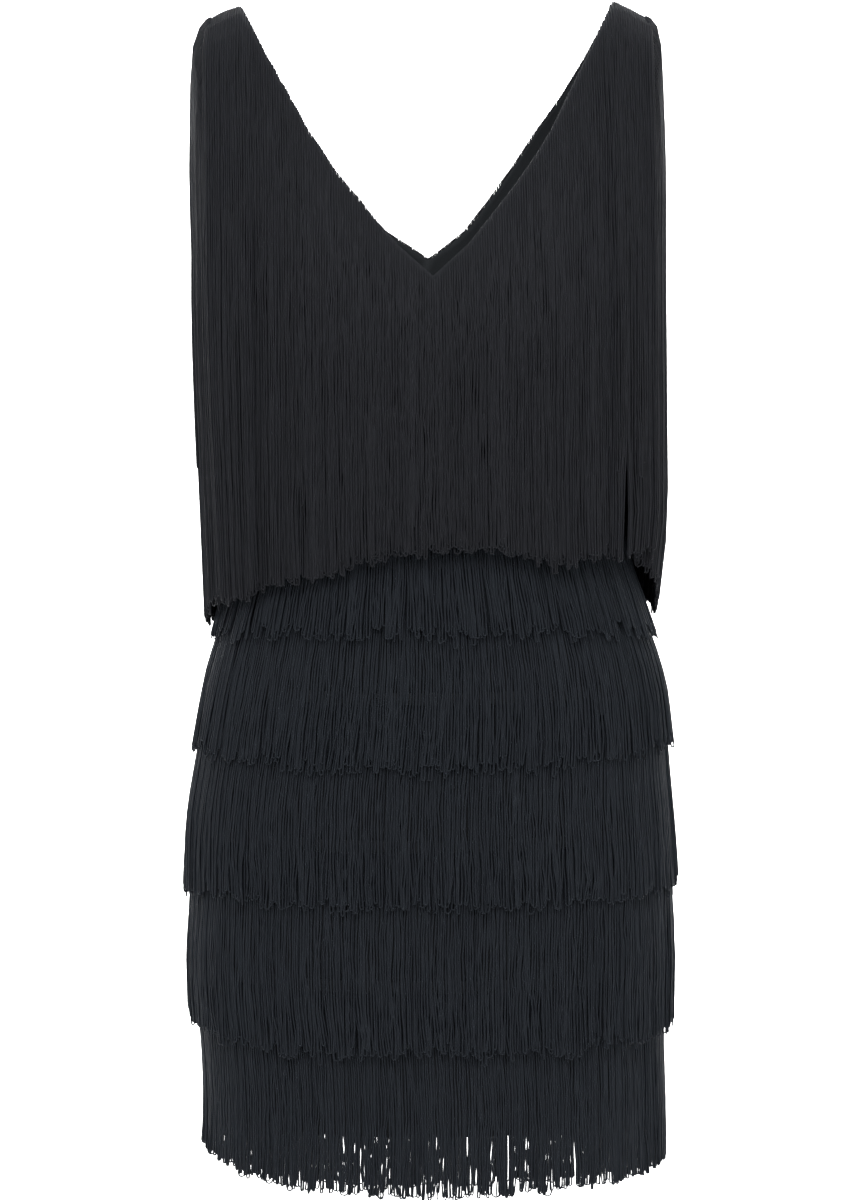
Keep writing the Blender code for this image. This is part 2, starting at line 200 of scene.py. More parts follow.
# Places where the dress hangs askew: middle, reach each way, and the move there
SETTLING = (
    ((0, 0, -0.485), (0.4, 0.4, 0.065), (0.0028, 0, 0)),
    ((0, 0, -0.585), (0.4, 0.4, 0.045), (-0.0018, 0, 0)),
    ((0, 0, -0.700), (0.4, 0.4, 0.065), (-0.0022, 0, 0)),
    ((0, 0, -0.800), (0.4, 0.4, 0.045), (0.0012, 0, 0)),
    ((0, 0.085, -0.105), (0.4, 0.06, 0.045), (-0.0030, 0, 0)),
    ((0, 0.085, -0.172), (0.4, 0.06, 0.022), (0.0030, 0, 0)),
    ((0, 0, -0.045), (0.125, 0.4, 0.035), (-0.0026, 0, 0)),
    ((0.138, 0, 0.002), (0.025, 0.1, 0.040), (0, 0, 0.0035)),
    ((-0.152, 0, 0.002), (0.016, 0.1, 0.030), (0, 0, 0.0022)),
    ((-0.166, 0, -0.008), (0.015, 0.1, 0.015), (0.0025, 0, 0)),
)

# Slits between the long strands in front: place across, height where it starts, how far the
# strands beside it are moved, and by how much
SLITS = (
    (0.1438, -0.152, 0.004, 0.0007),
    (0.1470, -0.152, 0.003, 0.0007),
    (0.1405, -0.330, 0.006, 0.0026),
    (-0.1411, -0.215, 0.005, 0.0011),
)

# Humps of the strands over the front neckline: middle and half-width across, and height
NECK_HUMPS = (
    (-0.1115, 0.0037, 0.0014),
    (-0.1035, 0.0037, 0.0015),
    (-0.0960, 0.0034, 0.0010),
    (-0.0800, 0.0060, 0.0008),
    (-0.0520, 0.0050, 0.0008),
    (0.0700, 0.0070, 0.0006),
)

# Outermost strands over the wearer's right arm: steps each way, end height and its unevenness
OUTER_BAND = (1.9, -0.332, 0.001)

# Armhole fringe: heights where it is sewn to the edge at steps from the shoulder tip, how far past
# the last step it reaches, and the power that crowds the strands towards the tip
ARM_ROOT_HEIGHTS = (-0.011, -0.014, -0.021, -0.032, -0.046, -0.063, -0.082, -0.102, -0.124, -0.150)
ARM_STEPS = 8
ARM_REACH = ARM_STEPS + 0.9
ARM_CROWDING = 1.12

# The strands' way from the edge: how far inside it they start, their lift there, the drop and the
# share of the way out where they turn down, and the heights of the rows below
ARM_HEADER_WIDTH = 0.004
ARM_ROOT_OFFSET = 0.0042
ARM_TURN_DROP = 0.013
ARM_TURN_OUT = 0.71
ARM_FREE_ROWS = (-0.075, -0.190)
ARM_ROW_STEP = 0.020
ARM_LIFT = 0.0004

# The half ellipse round the arm where they hang: middle, half axes, angle reached and length, and
# the share of a strand over which its loop turns from the edge's way to level
ARM_CENTRE_X = 0.147
ARM_HANG = (0.0245, 0.056)
ARM_HANG_ANGLE = 82.0
ARM_ROUND = 0.130
ARM_HEADER_SHARE = 0.35

# Ends of the armhole fringe
ARM_HEM = table(
    ("from_front", "left", "right"),
    (0.0, -0.400, -0.425),
    (0.3, -0.414, -0.432),
    (0.5, -0.438, -0.445),
    (0.7, -0.430, -0.440),
    (1.0, -0.418, -0.424),
)

# The yarn: a chainette about 1.3 mm thick, each strand a loop whose legs hang side by side, in two
# layers this far out
YARN_RADIUS = 0.00065
LEG_HALF_GAP = 0.0010
OPEN_LOOP_HALF_GAP = (0.0024, 0.0036)
OPENING_POWER = 5
BEND_STEPS = 3
LAYERS = (0.00065, 0.00140)

# Loops of the long fringe, steps of every kind's strands, and where a ring's strands start below
# the top of their header
YOKE_LOOPS = 370
ARM_LOOPS = 205
RING_STEPS = 11
YOKE_STEPS = 19
ARM_LOOP_STEPS = 16
ROOT_DROP = 0.4 * HEADER_HEIGHT
SEED = 11

# Locks of strands: narrowest and widest, the least and the most that one draws together at its end
# as a share of its width, how much shorter its outer strands are, the share of loops that hang wide
# open, and the least and the most half gap of the others
LOCKS = {
    "ring": (0.007, 0.024, 0.02, 0.12, 0.0042, 0.03, 0.0009, 0.0014),
    "last_ring": (0.006, 0.020, 0.04, 0.20, 0.0022, 0.05, 0.0007, 0.0012),
    "yoke": (0.007, 0.022, 0.02, 0.09, 0.0032, 0.02, 0.0009, 0.0013),
    "shoulder": (0.006, 0.014, 0.04, 0.16, 0.0040, 0.03, 0.0009, 0.0013),
}
LOCK_LIFT = 0.35
LOCK_POWER = 3

# Kinks that the yarn keeps from its spool, along the header and outwards, small bends in waves over
# a strand's length, and the waves that gather strands together, with their steepest drift
KINK = (0.00045, 0.00025)
BEND_WAVES = (1.3, 2.9)
GATHER_WAVES = 6
GATHER_SLOPE = 0.36

# Drift of the strands along the header: shortest and longest gathering wave, the power with which
# it grows down a strand, and the size of the small bends
DRIFT = {
    "ring": (0.011, 0.034, 1.6, 0.0010),
    "yoke": (0.010, 0.040, 1.4, 0.0008),
    "shoulder": (0.010, 0.030, 1.0, 0.0008),
}

# How far each strand is off its even place, in spacings, but in half headers round the arm; the
# power that crowds its steps towards its root; and the spread of the loops' turn, in radians
LAYOUT = {
    "ring": (0.35, 0.9, 0.5),
    "yoke": (0.22, 1.35, 0.35),
    "shoulder": (0.003, 1.7, 0.6),
}

# Shares of a strand's own tone and of its lock's, and how much further out single ends may hang
TONE_MIX = (0.7, 0.3)
LOOSE_ENDS = 0.0009

# How unevenly the long strands end
END_SPREAD = {"yoke": 0.0024, "short": 0.012, "arm": 0.002}

# Drop over which slits and the loft over the armhole begin, and how much wider than the figure the
# chest is taken for its outward way
FADE_IN = 0.02
CHEST_WIDENING = 1.16

# Long strands of the yoke that end early: middle and half-width across the body, end height, and
# the share of the strands there
SHORT_LOCKS = (
    (0.139, 0.015, -0.325, 0.45),
    (-0.088, 0.014, -0.355, 0.20),
    (-0.020, 0.008, -0.372, 0.20),
)

# Soft creases of the cloth: place across and height, length, width, depth and tilt in degrees
CREASES = {
    "front": (
        (0.118, -0.214, 0.060, 0.010, 0.0020, 62),
        (-0.121, -0.222, 0.048, 0.008, 0.0017, -57),
        (0.096, -0.352, 0.072, 0.012, 0.0022, 81),
        (-0.088, -0.366, 0.058, 0.010, 0.0019, -78),
        (0.031, -0.377, 0.090, 0.009, 0.0014, 88),
        (-0.112, -0.789, 0.036, 0.011, 0.0018, 8),
        (0.074, -0.794, 0.028, 0.014, 0.0016, -6),
    ),
    "back": (
        (0.110, -0.196, 0.055, 0.009, 0.0018, 58),
        (-0.104, -0.205, 0.066, 0.011, 0.0021, -66),
        (0.052, -0.361, 0.094, 0.012, 0.0024, 84),
        (-0.067, -0.372, 0.070, 0.010, 0.0020, -80),
        (-0.015, -0.392, 0.050, 0.008, 0.0014, -86),
        (0.098, -0.791, 0.034, 0.012, 0.0017, 5),
        (-0.059, -0.796, 0.026, 0.015, 0.0015, -9),
    ),
}

# The cloth's grid, from the middle to the side and from the neckline down. Its upper rows are
# crowded towards the neck by this power.
CLOTH_COLUMNS = 40
NECK_ROWS = 32
NECK_CROWDING = 1.5
BUST_ROWS = 4
BODY_ROWS = 50
TURN_SAMPLES = 2881

# Section of a tape: shares of its width and thickness at the eight corners, and the corners of the
# three quads that fill an end
TAPE_WIDE, TAPE_DEEP = np.array((
    (0.0, 0.5), (0.08, 0.95), (0.5, 1.0), (0.92, 0.95),
    (1.0, 0.5), (0.92, 0.05), (0.5, 0.0), (0.08, 0.05),
)).T
CAP_CORNERS = ((0, 1, 2, 3), (0, 3, 4, 7), (7, 4, 5, 6))

# Tapes: steps along, width, and both faces' distance from the figure, but for the arm's tape
# inwards from its strands' middle lines
RING_TAPE = (240, HEADER_HEIGHT, 0.0014, 0.0042)
NECK_TAPE = (150, 0.007, 0.0013, 0.0022)
ARM_TAPE = (90, 0.021, 0.0004, 0.0012)

# Bands in one unit of a wave texture
BANDS = 3.18
DIAGONAL_BANDS = 5.5

# Photograph: the camera is this far off, and the frame's height at the dress is this
CAMERA_DISTANCE = 3.55
CAMERA_AZIMUTH = -1.6
CAMERA_HEIGHT = -0.431
CAMERA_ROLL = 0.35
CAMERA_SIDE_SHIFT = -0.0019
FRAME_HEIGHT = 0.880
SENSOR = 36.0

# Studio floor: its height, its profile from front to back and its half-width
FLOOR_HEIGHT = -1.05
SWEEP = ((-3.0, 0.0), (5.2, 0.0), (6.3, 0.15), (7.0, 0.6), (7.4, 1.3), (7.5, 2.2), (7.5, 5.6))
SWEEP_STEPS = 49
SWEEP_HALF_WIDTH = 7.0

# Area lights: place, the point they face, size, power in watts
LIGHTS = {
    "key_light": ((-0.7, -2.4, 1.6), (0, 0, -0.3), 1.8, 58),
    "fill_light": ((1.8, -2.3, 1.1), (0, 0, -0.3), 2.2, 31),
    "top_light": ((0, -0.4, 2.2), (0, 0, -0.4), 1.8, 38),
    "sweep_light_left": ((-2.6, 3.4, 2.4), (-0.9, 6.4, -0.6), 2, 620),
    "sweep_light_right": ((2.6, 3.4, 2.4), (0.9, 6.4, -0.6), 2, 620),
}
WORLD_LIGHT = 0.50


def climb(value, start, end):
    """Share of the way from start to end that a value has gone, from 0 to 1."""
    return np.clip((value - start) / (end - start), 0, 1)


def smooth(at, knots, values):
    """Cubic Hermite curve through the knots, its slope at each from the knots beside it."""
    at = np.clip(np.asarray(at, float), knots[0], knots[-1])
    slopes = np.gradient(values, knots, axis=0)
    i = np.clip(np.searchsorted(knots, at, side="right") - 1, 0, len(knots) - 2)
    width = knots[i + 1] - knots[i]
    t = (at - knots[i]) / width
    if values.ndim > 1:
        width, t = width[:, None], t[:, None]
    rise = (2 * t**3 - 3 * t**2 + 1) * values[i] + (3 * t**2 - 2 * t**3) * values[i + 1]
    bend = (t**3 - 2 * t**2 + t) * slopes[i] + (t**3 - t**2) * slopes[i + 1]
    return rise + width * bend


def figure(height, name):
    """A named size of the figure at a height."""
    return smooth(height, FIGURE["height"], FIGURE[name])


def unit(vectors):
    """Vectors divided by their own lengths."""
    return vectors / np.maximum(np.linalg.norm(vectors, axis=-1, keepdims=True), 1e-12)


def shoulder_height(x):
    """Height of the shoulder line: level at the neck, sloping to the shoulder tip."""
    slope = SHOULDER_TIP[1] / (SHOULDER_TIP[0] - NECK_HALF_WIDTH)
    return slope * np.maximum(np.abs(x) - NECK_HALF_WIDTH, 0.0)


def armhole_half_width(height):
    """Half-width of the armhole edge at a height."""
    return smooth(height, ARMHOLE["height"], ARMHOLE["half_width"])


def chest_depth(x, height, side, grown=0.0):
    """Distance of the figure's front or back from the plane of the seams: a superellipse across,
    rounded over the shoulder line as a quarter circle. A grown figure is larger all round."""
    across = np.clip(np.abs(x) / (figure(height, "half_width") + grown), 0, 1)
    depth = figure(height, side + "_depth") + grown
    below = np.clip((shoulder_height(x) + grown - height) / (SHOULDER_ROUNDING + grown), 0, 1)
    return depth * (1 - across**ROUNDNESS) ** (1 / ROUNDNESS) * np.sqrt(1 - (1 - below) ** 2)


def round_body(turn, height, offset):
    """Points round the body and their level outward ways. Across is the half-width times the sine
    of the turn, and forward the depth times its cosine, each to the power 2/2.4. The offset then
    moves the point out along the superellipse's normal."""
    sine, cosine = np.sin(turn), np.cos(turn)
    half_width = figure(height, "half_width")
    depth = np.where(cosine >= 0, figure(height, "front_depth"), figure(height, "back_depth"))
    steep = (ROUNDNESS - 1) * POWER
    point = np.stack((
        half_width * np.sign(sine) * np.abs(sine) ** POWER,
        -depth * np.sign(cosine) * np.abs(cosine) ** POWER,
        height,
    ), axis=-1)
    out = unit(np.stack((
        np.sign(sine) * np.abs(sine) ** steep / half_width,
        -np.sign(cosine) * np.abs(cosine) ** steep / depth,
        0 * height,
    ), axis=-1))
    return point + out * np.asarray(offset)[..., None], out


def row_height(side_height, front_sag, back_sag, turn):
    """Height of a sagging row: its side height less the sag times the squared cosine of the turn."""
    sag = np.where(np.cos(turn) >= 0, front_sag, back_sag)
    return side_height - sag * np.cos(turn) ** 2


def turns_by_length(shares):
    """Turns at shares of the way round the hip, from the front's middle by the wearer's left."""
    fine = np.linspace(0.0, 2 * np.pi, TURN_SAMPLES)
    points, _ = round_body(fine, np.full_like(fine, HIP_HEIGHT), np.zeros_like(fine))
    length = np.r_[0.0, np.cumsum(np.linalg.norm(np.diff(points, axis=0), axis=1))]
    return np.interp(np.mod(shares, 1.0) * length[-1], length, fine), length[-1]


def gathered(place, span, draw, shortest, longest, closed):
    """Sideways drift of the strands at their ends, which draws them into locks with gaps between:
    a sum of sine waves of the place along the header, each as tall as its own length allows."""
    drift = np.zeros_like(place)
    for _ in range(GATHER_WAVES):
        length = draw.uniform(shortest, longest)
        if closed:
            length = span / round(span / length)
        phase = draw.uniform(0, 2 * np.pi)
        height = GATHER_SLOPE * length / (2 * np.pi) * draw.uniform(0.5, 1.0)
        drift += height * np.sin(2 * np.pi * place / length + phase)
    return drift / math.sqrt(GATHER_WAVES)


def in_locks(place, span, draw, kind):
    """Splits strands into locks of uneven width. Gives each strand its drift at the end, which is
    towards its lock's middle in proportion to its distance from it, its length's change, which
    grows with the cube of that distance, its lock's number and its loop's half gap."""
    narrow, wide, least, most, curl, open_loops, least_gap, most_gap = LOCKS[kind]
    edges = np.cumsum(draw.uniform(narrow, wide, int(span / narrow) + 2))
    edges = np.r_[0.0, edges[edges < span - narrow / 2], span]
    lock = np.clip(np.searchsorted(edges, place, side="right") - 1, 0, len(edges) - 2)
    half = (edges[lock + 1] - edges[lock]) / 2
    apart = (place - edges[lock]) / half - 1
    pinch = draw.uniform(least, most, len(edges))[lock]
    lift = draw.normal(0, LOCK_LIFT * curl, len(edges))[lock]
    half_gap = draw.uniform(least_gap, most_gap, len(place))
    opened = draw.uniform(0, 1, len(place)) < open_loops
    half_gap = np.where(opened, draw.uniform(*OPEN_LOOP_HALF_GAP, len(place)), half_gap)
    return -apart * half * pinch, lift - curl * np.abs(apart) ** LOCK_POWER, lock, half_gap


def wander(count, share, draw, size):
    """Small bends of single strands: two slow sine waves that grow down each strand, and a kink at
    every step but its root."""
    total = np.zeros((count, len(share)))
    for waves in BEND_WAVES:
        phase = draw.uniform(0, 2 * np.pi, (count, 1))
        height = draw.normal(0, size / waves, (count, 1))
        total += height * (np.sin(2 * np.pi * waves * share + phase) - np.sin(phase))
    return total * share + draw.normal(0, KINK[0], total.shape) * np.minimum(6 * share, 1.0)


def drifting(place, span, pinch, share, draw, kind, closed=False):
    """Drift of strands along their header, at each of their steps: the gathering waves, the pull to
    their lock's middle, which grows with the cube of the way down, and the small bends."""
    shortest, longest, growth, bends = DRIFT[kind]
    drift = gathered(place, span, draw, shortest, longest, closed)[:, None] * share**growth
    return drift + pinch[:, None] * share**LOCK_POWER + wander(len(place), share, draw, bends)


def steps_down(steps, kind):
    """Shares of the way down a strand at its steps, crowded towards its root."""
    return np.linspace(0, 1, steps) ** LAYOUT[kind][1]


def tube_faces(tubes, steps):
    """Faces of four-sided tubes numbered tube by tube, step by step and corner by corner: a quad
    between the same two corners of neighbouring steps, and one that closes each end."""
    number = np.arange(tubes * steps * 4).reshape(tubes, steps, 4)
    following = np.roll(number, -1, axis=2)
    quads = np.stack((number[:, :-1], number[:, 1:], following[:, 1:], following[:, :-1]), axis=-1)
    return np.concatenate((quads.reshape(-1, 4), number[:, 0], number[:, -1, ::-1]))


def looped_yarn(centre, side, face, half_gap):
    """Looped strands. Each yarn runs down half a gap to one side of its centre line, round a half
    circle under the line's end and up the other side, as a tube with four corners. The half gap
    opens to its own over the last third. side and face are the ways along and across the loop.
    Returns points, faces, and the map: the share round the yarn and the length along it."""
    loops, steps = centre.shape[:2]
    bend = np.linspace(0.0, np.pi, BEND_STEPS + 2)[1:-1]
    leg = np.arange(steps)
    index = np.r_[leg, np.full(BEND_STEPS, steps - 1), leg[::-1]]
    across = np.r_[-np.ones(steps), -np.cos(bend), np.ones(steps)]
    below = np.r_[np.zeros(steps), np.sin(bend), np.zeros(steps)]
    down = unit(centre[:, -1] - centre[:, -2])
    share = np.linspace(0, 1, steps)
    usual = np.minimum(half_gap, LEG_HALF_GAP)[:, None]
    reach = (usual + (half_gap[:, None] - usual) * share**OPENING_POWER)[:, index, None]
    path = centre[:, index] + reach * across[:, None] * side[:, index]
    path = path + reach * below[:, None] * down[:, None]
    way = unit(np.gradient(path, axis=1))
    beside = unit(np.cross(way, face[:, index]))
    out = np.cross(beside, way)
    corner = (np.arange(4) + 0.5) * np.pi / 2
    around = beside[:, :, None] * np.cos(corner)[:, None] + out[:, :, None] * np.sin(corner)[:, None]
    rings = path[:, :, None] + YARN_RADIUS * around
    count = path.shape[1]
    run = np.linalg.norm(np.diff(path, axis=1), axis=2)
    along = np.concatenate((np.zeros((loops, 1)), np.cumsum(run, axis=1)), axis=1)
    v = np.stack((along[:, :-1], along[:, 1:], along[:, 1:], along[:, :-1]), axis=-1)
    share = (np.arange(4)[:, None] + np.array((0, 0, 1, 1))) / 4
    u = np.broadcast_to(share, (loops, count - 1, 4, 4))
    wrap = np.stack((u, np.broadcast_to(v[:, :, None], u.shape)), axis=-1).reshape(-1, 4, 2)
    wrap = np.concatenate((wrap, np.zeros((2 * loops, 4, 2))))
    return rings.reshape(-1, 3), tube_faces(loops, count), wrap


def placed(name, data):
    """A new object in the scene."""
    made = bpy.data.objects.new(name, data)
    bpy.context.scene.collection.objects.link(made)
    return made


def add_piece(name, points, faces, finish, node_name, wrap=None, tone=None):
    """A mesh piece on the one body from arrays of points and quads, with its finish, the CAD node
    that it stands for and, where it has them, its map and its points' tone."""
    mesh = bpy.data.meshes.new(name)
    mesh.vertices.add(len(points))
    mesh.vertices.foreach_set("co", np.ascontiguousarray(points, np.float32).ravel())
    mesh.loops.add(faces.size)
    mesh.loops.foreach_set("vertex_index", faces.astype(np.int32).ravel())
    mesh.polygons.add(len(faces))
    mesh.polygons.foreach_set("loop_start", np.arange(0, faces.size, 4, dtype=np.int32))
    mesh.update(calc_edges=True)
    mesh.shade_smooth()
    if wrap is not None:
        layer = mesh.uv_layers.new(name="cloth_map")
        layer.uv.foreach_set("vector", np.ascontiguousarray(wrap, np.float32).ravel())
    if tone is not None:
        layer = mesh.attributes.new("tone", "FLOAT", "POINT")
        layer.data.foreach_set("value", np.ascontiguousarray(tone, np.float32))
    piece = placed(name, mesh)
    mesh.materials.append(finish)
    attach(piece, "root")
    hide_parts(node_name)
    return piece


def level_beside(out):
    """Level ways at right angles to the outward ones, to the left as the outward way sees it."""
    return np.stack((-out[..., 1], out[..., 0], np.zeros(out.shape[:-1])), axis=-1)


def settled(points):
    """The whole dress hangs a little askew: round each place in the table the points move by its
    move times a bell of their distance from it."""
    moved = points.copy()
    for middle, reach, move in SETTLING:
        near = (((points - middle) / reach) ** 2).sum(axis=-1)
        moved += np.exp(-near)[..., None] * np.array(move)
    return moved


def add_strands(name, kind, centre, beside, out, share, half_gap, lock, finish, draw):
    """Looped strands along centre lines. Each loop's plane holds the way beside its line, turned
    towards the outward way by a twist that grows down the strand. Each strand's tone mixes its own
    with its lock's. The piece stands for the node with fringe for strands in its name."""
    twist = draw.normal(0, LAYOUT[kind][2], (len(centre), 1)) * share
    side = beside * np.cos(twist)[..., None] + out * np.sin(twist)[..., None]
    face = out * np.cos(twist)[..., None] - beside * np.sin(twist)[..., None]
    points, faces, wrap = looped_yarn(centre, side, face, half_gap)
    own, shared = draw.uniform(0, 1, len(centre)), draw.uniform(0, 1, lock.max() + 1)[lock]
    tone = TONE_MIX[0] * own + TONE_MIX[1] * shared
    tone = np.repeat(tone, len(points) // len(centre))
    node_name = name.replace("strands", "fringe")
    return add_piece(name, settled(points), faces, finish, node_name, wrap, tone)


def add_ring_strands(number, finish, draw):
    """One ring of looped fringe. A strand's height is its header's less its drop; its distance from
    the body runs smoothly through the ring's four offsets, plus its layer's."""
    header = LEVELS[f"header_{number}"]
    loops, end_spread, longer, back_drop, offsets = RINGS[number - 1]
    layer = np.arange(loops) % 2
    shift = LAYOUT["ring"][0]
    shares = (np.arange(loops) + 0.5 + draw.uniform(-shift, shift, loops)) / loops
    turn, span = turns_by_length(shares)
    kind = "ring" if number < len(RINGS) else "last_ring"
    pinch, curl, lock, half_gap = in_locks(shares * span, span, draw, kind)
    length = FRINGE_LENGTH + longer + curl + draw.normal(0, end_spread, loops)
    length = length + back_drop * np.clip(-np.cos(turn), 0, 1)
    for ring, middle, reach, change in HEM_CHANGES:
        if ring == number:
            apart = (np.degrees(turn) - middle + 180) % 360 - 180
            length = length + change * np.exp(-((apart / reach) ** 2))
    share = steps_down(RING_STEPS, "ring")
    top = row_height(*header, turn) - ROOT_DROP
    drop = share * (length - ROOT_DROP)[:, None]
    height = top[:, None] - drop
    after = LEVELS[f"header_{number + 1}"] if number < len(RINGS) else LEVELS["hem"]
    step = header[0] - after[0]
    offset = smooth(drop, np.array((0.0, 0.5 * step, step, FRINGE_LENGTH)), np.array(offsets))
    loose = draw.uniform(0, LOOSE_ENDS, (loops, 1)) * share**LOCK_POWER
    offset = offset + np.array(LAYERS)[layer][:, None] + loose
    offset = offset + np.abs(draw.normal(0, KINK[1], offset.shape)) * share
    centre, out = round_body(turn[:, None] * np.ones_like(share), height, offset)
    drift = drifting(shares * span, span, pinch, share, draw, "ring", closed=True)
    beside = level_beside(out)
    centre = centre + beside * drift[..., None]
    name = f"skirt_strands_{number}"
    return add_strands(name, "ring", centre, beside, out, share, half_gap, lock, finish, draw)


def leaning(centre):
    """The long strands at the sides lean in towards the body as they go down: each lean grows
    smoothly from its start to the ends, and from the chest out to the side."""
    move = np.zeros(centre.shape[:-1])
    for sign, side, full_side, start, end, lean in LEANS:
        outer = climb(sign * centre[..., 0], side, full_side)
        lower = climb(centre[..., 2], start, end)
        move -= sign * lean * outer * lower**2 * (3 - 2 * lower)
    return move


def chest_out(x, side):
    """Level outward way of the chest at a width: the normal of the superellipse at the bust."""
    half_width = figure(BUST_HEIGHT, "half_width") * CHEST_WIDENING
    depth = figure(BUST_HEIGHT, side + "_depth")
    across = np.clip(np.abs(x) / half_width, 0, 1)
    steep = ROUNDNESS - 1
    return unit(np.stack((
        np.sign(x) * across**steep / half_width,
        FACING[side] * (1 - across**ROUNDNESS) ** (steep / ROUNDNESS) / depth,
        np.zeros_like(x),
    ), axis=-1))


def add_yoke_strands(side, finish, draw):
    """Long looped fringe from the neckline of one panel. It lies on the chest to the bust and hangs
    straight below: no point of a strand is further in than the points above it."""
    layer = np.arange(YOKE_LOOPS) % 2
    shift = LAYOUT["yoke"][0]
    place = (np.arange(YOKE_LOOPS) + 0.5 + draw.uniform(-shift, shift, YOKE_LOOPS)) / YOKE_LOOPS
    x = (2 * place - 1) * YOKE_HALF_WIDTH
    pinch, curl, lock, half_gap = in_locks(x + YOKE_HALF_WIDTH, 2 * YOKE_HALF_WIDTH, draw, "yoke")
    on_shoulder = np.abs(x) > NECK_HALF_WIDTH
    hump = np.zeros_like(x)
    for middle, half_width, rise in NECK_HUMPS:
        hump += (side == "front") * rise * np.clip(1 - ((x - middle) / half_width) ** 2, 0, 1)
    depth_share = np.interp(np.abs(x), NECKLINE[side][::-1], NECKLINE["depth_share"][::-1])
    neck_height = -V_DEPTH[side] * depth_share
    root = np.where(on_shoulder, shoulder_height(x) + YOKE_ROOT_LIFT, neck_height + YOKE_NECK_LIFT + hump)
    hem = np.interp(x, YOKE_HEM["x"], YOKE_HEM[side])
    hem = hem - curl + draw.normal(0, END_SPREAD["yoke"], YOKE_LOOPS)
    chance = draw.uniform(0, 1, YOKE_LOOPS)
    for middle, half_width, end, part in SHORT_LOCKS:
        short = (np.abs(x - middle) < half_width) & (chance < part) & (layer == 1) & (side == "front")
        hem = np.where(short, end + draw.normal(0, END_SPREAD["short"], YOKE_LOOPS), hem)
    share = steps_down(YOKE_STEPS, "yoke")
    height = root[:, None] + (hem - root)[:, None] * share
    fallen = root[:, None] - height
    down = fallen / (root - BUST_HEIGHT)[:, None]
    offset = np.interp(down, YOKE_SHARES, YOKE_OFFSETS) + np.array(LAYERS)[layer][:, None]
    offset = offset + np.abs(draw.normal(0, KINK[1], offset.shape)) * np.minimum(4 * share, 1.0)
    offset = offset - YOKE_EDGE_DIP * np.clip(1 - fallen / YOKE_EDGE_FALL, 0, 1)
    lofts = (YOKE_SHOULDER_LOFT, 1.0), (YOKE_ARMHOLE_LOFT, climb(fallen, 0.0, FADE_IN))
    for (loft, start, end), below in lofts:
        offset = offset + loft * climb(np.abs(x), start, end)[:, None] * below
    wide = np.broadcast_to(x[:, None], height.shape)
    depth = np.maximum.accumulate(chest_depth(wide, height, side, offset), axis=1)
    centre = np.stack((wide, FACING[side] * depth, height), axis=-1)
    drift = drifting(x, 1.0, -FACING[side] * pinch, share, draw, "yoke")
    out = np.broadcast_to(chest_out(x, side)[:, None], centre.shape)
    beside = level_beside(out)
    centre = centre + beside * drift[..., None]
    centre[..., 0] += leaning(centre)
    for place, start, reach, opening in SLITS:
        apart = (x - place)[:, None]
        lower = climb(start - height, 0.0, FADE_IN) * (side == "front")
        centre[..., 0] += opening * np.sign(apart) * np.exp(-np.abs(apart) / reach) * lower
    name = f"{side}_yoke_strands"
    return add_strands(name, "yoke", centre, beside, out, share, half_gap, lock, finish, draw)


def shoulder_lines(step, hem):
    """Centre lines of the armhole fringe at steps from its front to its back: over the edge of the
    armhole, out to a half ellipse round the arm and straight down it. Gives the six rows that each
    line runs through, their mean distances along it, and the outward ways."""
    height = np.interp(np.abs(step), np.arange(len(ARM_ROOT_HEIGHTS)), ARM_ROOT_HEIGHTS)
    at_tip = np.clip(1 - np.abs(step), 0, 1)
    rows = []
    for inside in (ARM_HEADER_WIDTH, 0.0):
        x = armhole_half_width(height) - inside
        z = height + (shoulder_height(x) + ARM_ROOT_OFFSET - height) * at_tip
        front = -chest_depth(x, z, "front", ARM_ROOT_OFFSET)
        back = chest_depth(x, z, "back", ARM_ROOT_OFFSET)
        rows.append(np.stack((x, np.where(step < 0, front, back), z), axis=-1))
    angle = np.radians(ARM_HANG_ANGLE) * step / ARM_STEPS
    hang = np.column_stack((ARM_CENTRE_X + ARM_HANG[0] * np.cos(angle), ARM_HANG[1] * np.sin(angle)))
    turn_place = rows[1][:, :2] + (hang - rows[1][:, :2]) * ARM_TURN_OUT
    turn_height = rows[1][:, 2] - ARM_TURN_DROP
    rows.append(np.column_stack((turn_place, turn_height)))
    for free in ARM_FREE_ROWS:
        rows.append(np.column_stack((hang, np.minimum(free, turn_height - ARM_ROW_STEP))))
    rows.append(np.column_stack((hang, hem)))
    out = np.stack((np.cos(angle) / ARM_HANG[0], np.sin(angle) / ARM_HANG[1], 0 * angle), axis=-1)
    rows = np.array(rows)
    run = np.linalg.norm(np.diff(rows, axis=0), axis=2).mean(axis=1)
    return rows, np.r_[0.0, np.cumsum(run)], unit(out)


